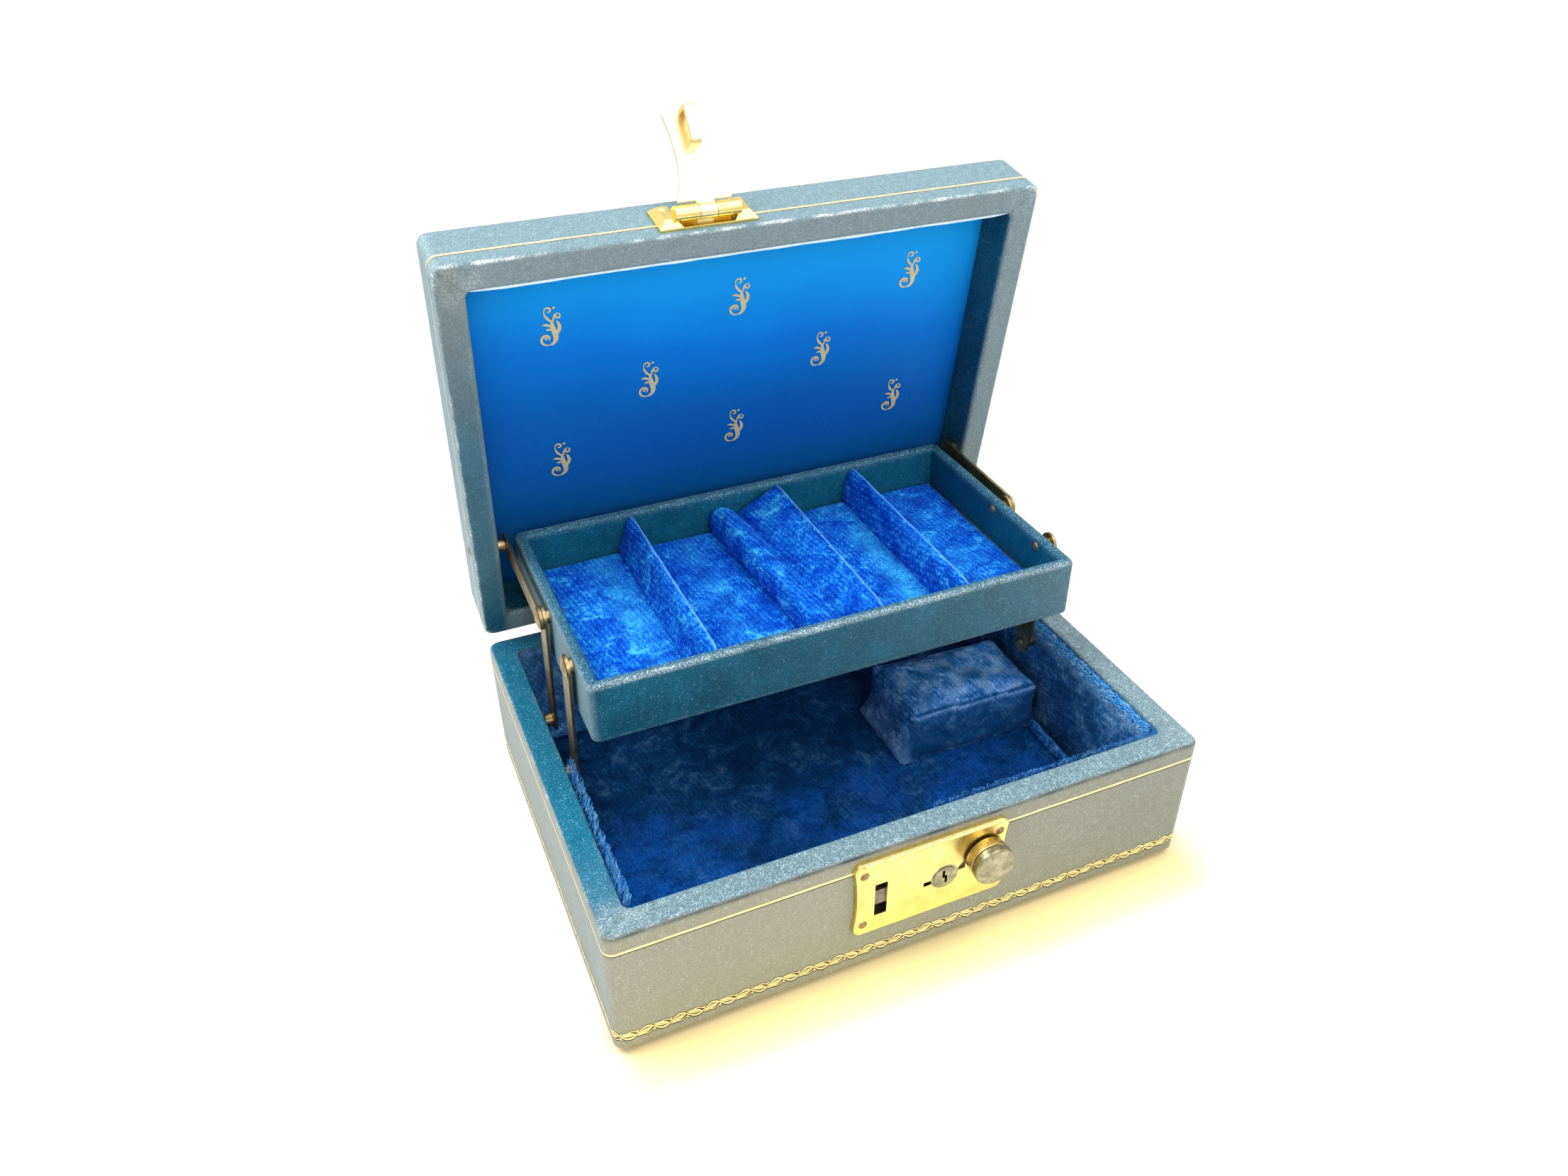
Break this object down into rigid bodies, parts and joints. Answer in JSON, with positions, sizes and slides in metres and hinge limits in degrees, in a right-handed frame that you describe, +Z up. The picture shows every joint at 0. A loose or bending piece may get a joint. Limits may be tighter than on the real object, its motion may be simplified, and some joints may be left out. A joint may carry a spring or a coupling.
{
  "type": "jewellery box",
  "caption": "Lidded leatherette jewellery box with a velvet-lined base, a riser tray carried on paired arms and drawn up by the lid, a satin lid panel, a hinged hasp and a sliding-knob lock.",
  "frame": {"origin": "middle of the open box's footprint on the plane the feet stand on, 6.9 mm behind the centre of the case", "axes": "X to the right along the width, Y to the back where the hinges are, Z up"},
  "size_m": [0.204, 0.1806, 0.2326],
  "materials": {
    "wood": "plain sawn softwood, hidden under the covering",
    "leatherette": "petrol-blue leatherette with a fine pebble grain and gold lines",
    "velvet": "royal-blue crushed velvet with pale pile lights",
    "satin": "azure twill satin with small gold leaf scrolls",
    "card": "plain stiff card",
    "lock_brass": "bright stamped brass with fine scratches",
    "aged_brass": "aged brass, worn bright on the edges",
    "steel": "plain lock steel",
    "nickel": "worn nickel plate"
  },
  "bodies": {
    "base": {"base_walls": "wood", "base_bottom_board": "wood", "base_cover": "leatherette", "base_wall_lining": "velvet", "base_floor_pad": "velvet", "watch_bridge": "velvet", "base_ridge": "velvet", "feet": "lock_brass", "hinge_base_leaves": "aged_brass", "hinge_pins": "aged_brass", "hinge_base_nails": "aged_brass", "base_arm_rivets": "aged_brass", "base_arm_bushes": "aged_brass", "lock_plate": "lock_brass", "lock_nails": "lock_brass", "lock_case": "steel", "plug_housing": "nickel", "latch_spring": "steel"},
    "lid": {"lid_walls": "wood", "lid_top_board": "wood", "lid_cover": "leatherette", "lid_wall_lining": "leatherette", "lid_panel_card": "card", "lid_satin_pad": "satin", "hinge_lid_leaves": "aged_brass", "hinge_lid_nails": "aged_brass", "lid_link_rivets": "aged_brass", "lid_link_bushes": "aged_brass", "hasp_block": "lock_brass", "hasp_pin": "lock_brass", "hasp_nails": "lock_brass"},
    "hasp": {"hasp_tongue": "lock_brass", "hasp_staple": "lock_brass"},
    "tray": {"tray_walls": "wood", "tray_bottom_board": "wood", "tray_cover": "leatherette", "tray_floor_pad": "velvet", "tray_divider_left": "velvet", "tray_divider_middle": "velvet", "tray_divider_right": "velvet", "ring_roll": "velvet", "tray_rivets": "aged_brass", "tray_spacers": "aged_brass"},
    "front_arms": {"front_arm_left": "aged_brass", "front_arm_right": "aged_brass"},
    "rear_arms": {"rear_arm_left": "aged_brass", "rear_arm_right": "aged_brass"},
    "lid_links": {"lid_link_left": "aged_brass", "lid_link_right": "aged_brass"},
    "latch": {"latch_slide": "steel", "knob_stem": "aged_brass", "knob_barrel": "aged_brass", "knob_cap": "nickel"},
    "key": {"key_plug": "nickel", "key_cam": "steel"}
  },
  "joints": [
    {"name": "lid_hinge", "type": "hinge", "parent": "base", "child": "lid", "pos_m": [0, 0.06871, 0.052], "axis": [-1, 0, 0], "range_deg": [-80, 0]},
    {"name": "hasp_hinge", "type": "hinge", "parent": "lid", "child": "hasp", "pos_m": [-0.0165, 0.04722, 0.20438], "axis": [-1, 0, 0], "range_deg": [-135, 40]},
    {"name": "lid_link_pivot", "type": "hinge", "parent": "lid", "child": "lid_links", "pos_m": [0, 0.06941, 0.0901], "axis": [-1, 0, 0], "range_deg": [0, 77]},
    {"name": "rear_arm_pivot", "type": "hinge", "parent": "base", "child": "rear_arms", "pos_m": [0, 0.03011, 0.03977], "axis": [-1, 0, 0], "range_deg": [-62, 0]},
    {"name": "front_arm_pivot", "type": "hinge", "parent": "base", "child": "front_arms", "pos_m": [0, 0.00171, 0.03977], "axis": [-1, 0, 0], "range_deg": [-62, 0]},
    {"name": "tray_pivot", "type": "hinge", "parent": "rear_arms", "child": "tray", "pos_m": [0, 0.02196, 0.089], "axis": [-1, 0, 0], "range_deg": [0, 62]},
    {"name": "knob_slide", "type": "slide", "parent": "base", "child": "latch", "axis": [1, 0, 0], "range_m": [0, 0.0036], "stiffness_N_per_m": 300, "springref_m": -0.003, "deforming": ["latch_spring"]},
    {"name": "key_turn", "type": "hinge", "parent": "base", "child": "key", "pos_m": [0.0056, -0.08094, 0.0324], "axis": [0, -1, 0], "range_deg": [0, 90]}
  ],
  "couplings": [
    {"joint": "lid_link_pivot", "follows": "lid_hinge", "ratio": -0.956},
    {"joint": "rear_arm_pivot", "follows": "lid_hinge", "ratio": 0.767},
    {"joint": "front_arm_pivot", "follows": "lid_hinge", "ratio": 0.767},
    {"joint": "tray_pivot", "follows": "lid_hinge", "ratio": -0.767}
  ]
}
